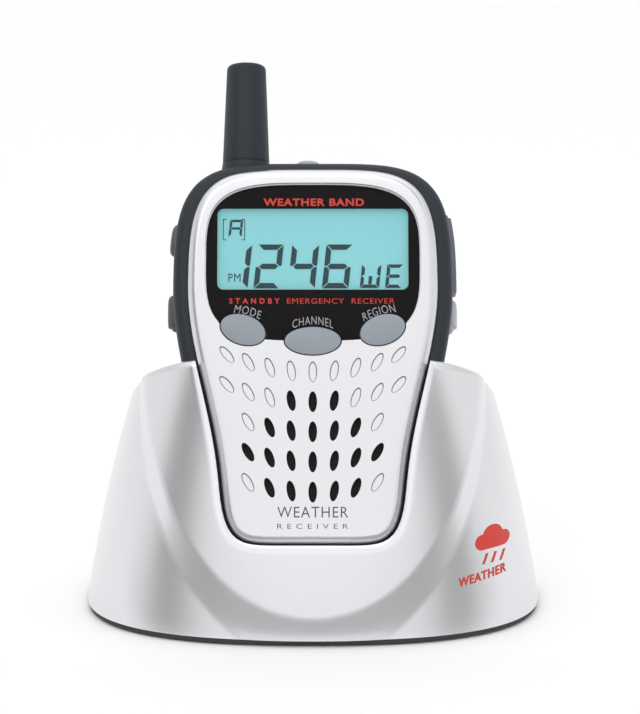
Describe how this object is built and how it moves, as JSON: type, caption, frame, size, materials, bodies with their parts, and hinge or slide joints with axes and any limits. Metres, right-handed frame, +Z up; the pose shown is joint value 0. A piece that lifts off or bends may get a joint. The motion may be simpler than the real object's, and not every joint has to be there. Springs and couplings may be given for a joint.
{
  "type": "emergency radio",
  "caption": "Hand-held weather alert radio with a stub antenna, display, front keys and speaker slots, leaning back in a silver desktop charging cradle.",
  "frame": {"origin": "on the table at the middle of the cradle's footprint", "axes": "+X to the right seen from the front, +Y towards the back, +Z up; the display faces -Y"},
  "size_m": [0.1036, 0.0762, 0.1224],
  "materials": {
    "silver_paint": "satin silver paint on plastic",
    "dark_plastic": "fine moulded texture",
    "black_rubber": "matte",
    "zinc_steel": "zinc plated",
    "circuit_board": "solder mask",
    "black_plastic": "moulded",
    "nickel": "nickel plated",
    "capacitor_sleeve": "shrink sleeve",
    "brass": "gold flashed",
    "spring_steel": "drawn wire",
    "slate_plastic": "dark blue-grey, fine texture",
    "clear_lens": "polished clear window",
    "black_print": "black print behind the window",
    "lcd_teal": "backlit liquid crystal",
    "light_guide": "frosted light guide",
    "grey_rubber": "silicone",
    "paper_cone": "treated paper",
    "ferrite": "sintered",
    "black_cloth": "woven mesh",
    "slate_rubber": "dark blue-grey, fine ripple",
    "cell_wrap": "plain wrap",
    "key_grey": "smooth silicone",
    "key_light": "smooth silicone",
    "flap_rubber": "smooth silicone"
  },
  "bodies": {
    "cradle": {"cradle_shell": "silver_paint", "cradle_base": "dark_plastic", "rubber_feet": "black_rubber", "base_screws": "zinc_steel", "charge_board": "circuit_board", "dc_inlet": "black_plastic", "dc_inlet_pin": "nickel", "charge_capacitors": "capacitor_sleeve", "charge_regulator": "black_plastic", "contact_block": "black_plastic", "contact_leads": "brass", "pin_spring_left": "spring_steel", "pin_spring_right": "spring_steel"},
    "handset": {"front_cover": "silver_paint", "front_frame": "slate_plastic", "rear_housing": "slate_plastic", "seam_gasket": "black_rubber", "display_lens": "clear_lens", "lens_mask": "black_print", "lcd_panel": "lcd_teal", "backlight": "light_guide", "lcd_frame": "black_plastic", "contact_strip": "black_rubber", "keypad_mat": "grey_rubber", "speaker_basket": "zinc_steel", "speaker_cone": "paper_cone", "speaker_magnet": "ferrite", "speaker_mesh": "black_cloth", "main_board": "circuit_board", "receiver_shield": "zinc_steel", "processor_chip": "black_plastic", "tact_switches": "black_plastic", "earphone_jack": "black_plastic", "antenna_sleeve": "slate_rubber", "antenna_core": "spring_steel", "antenna_collar": "slate_plastic", "cell_left": "cell_wrap", "cell_middle": "cell_wrap", "cell_right": "cell_wrap", "battery_plates": "nickel", "battery_springs": "spring_steel", "case_screws": "zinc_steel", "charge_pads": "brass"},
    "charge_pin_left": {"charge_pin_left": "brass"},
    "charge_pin_right": {"charge_pin_right": "brass"},
    "mode_key": {"mode_key": "key_grey"},
    "channel_key": {"channel_key": "key_grey"},
    "area_key": {"area_key": "key_grey"},
    "volume_up_key": {"volume_up_key": "key_grey"},
    "volume_down_key": {"volume_down_key": "key_grey"},
    "light_button": {"light_button": "key_light"},
    "top_button": {"top_button": "key_light"},
    "jack_cover": {"jack_cover": "flap_rubber"},
    "battery_cover": {"battery_cover": "slate_plastic", "clip_pin": "zinc_steel"},
    "belt_clip": {"belt_clip": "slate_plastic", "clip_spring": "spring_steel"}
  },
  "joints": [
    {"name": "handset_lift", "type": "slide", "parent": "cradle", "child": "handset", "axis": [0, 0.3584, 0.9336], "range_m": [0, 0.07]},
    {"name": "charge_pin_left_press", "type": "slide", "parent": "cradle", "child": "charge_pin_left", "axis": [0, -0.3584, -0.9336], "range_m": [0, 0.0008], "stiffness_N_per_m": 12, "deforming": ["pin_spring_left"]},
    {"name": "charge_pin_right_press", "type": "slide", "parent": "cradle", "child": "charge_pin_right", "axis": [0, -0.3584, -0.9336], "range_m": [0, 0.0008], "stiffness_N_per_m": 12, "deforming": ["pin_spring_right"]},
    {"name": "mode_key_press", "type": "slide", "parent": "handset", "child": "mode_key", "axis": [0, 0.9336, -0.3584], "range_m": [0, 0.0008], "stiffness_N_per_m": 40},
    {"name": "channel_key_press", "type": "slide", "parent": "handset", "child": "channel_key", "axis": [0, 0.9336, -0.3584], "range_m": [0, 0.0008], "stiffness_N_per_m": 40},
    {"name": "area_key_press", "type": "slide", "parent": "handset", "child": "area_key", "axis": [0, 0.9336, -0.3584], "range_m": [0, 0.0008], "stiffness_N_per_m": 40},
    {"name": "volume_up_press", "type": "slide", "parent": "handset", "child": "volume_up_key", "axis": [1, 0, 0], "range_m": [0, 0.0007], "stiffness_N_per_m": 20},
    {"name": "volume_down_press", "type": "slide", "parent": "handset", "child": "volume_down_key", "axis": [1, 0, 0], "range_m": [0, 0.0007], "stiffness_N_per_m": 20},
    {"name": "light_button_press", "type": "slide", "parent": "handset", "child": "light_button", "axis": [-1, 0, 0], "range_m": [0, 0.0007], "stiffness_N_per_m": 20},
    {"name": "top_button_press", "type": "slide", "parent": "handset", "child": "top_button", "axis": [0, -0.3584, -0.9336], "range_m": [0, 0.0007], "stiffness_N_per_m": 20},
    {"name": "jack_cover_swing", "type": "hinge", "parent": "handset", "child": "jack_cover", "pos_m": [0.0296, 0.00276, 0.08769], "axis": [0, -0.9336, 0.3584], "range_deg": [0, 70], "stiffness_Nm_per_rad": 0.002},
    {"name": "battery_cover_swing", "type": "hinge", "parent": "handset", "child": "battery_cover", "pos_m": [0, 0.00018, 0.02934], "axis": [-1, 0, 0], "range_deg": [0, 40]},
    {"name": "belt_clip_open", "type": "hinge", "parent": "battery_cover", "child": "belt_clip", "pos_m": [0, 0.01807, 0.06617], "axis": [1, 0, 0], "range_deg": [0, 20], "stiffness_Nm_per_rad": 0.02}
  ]
}
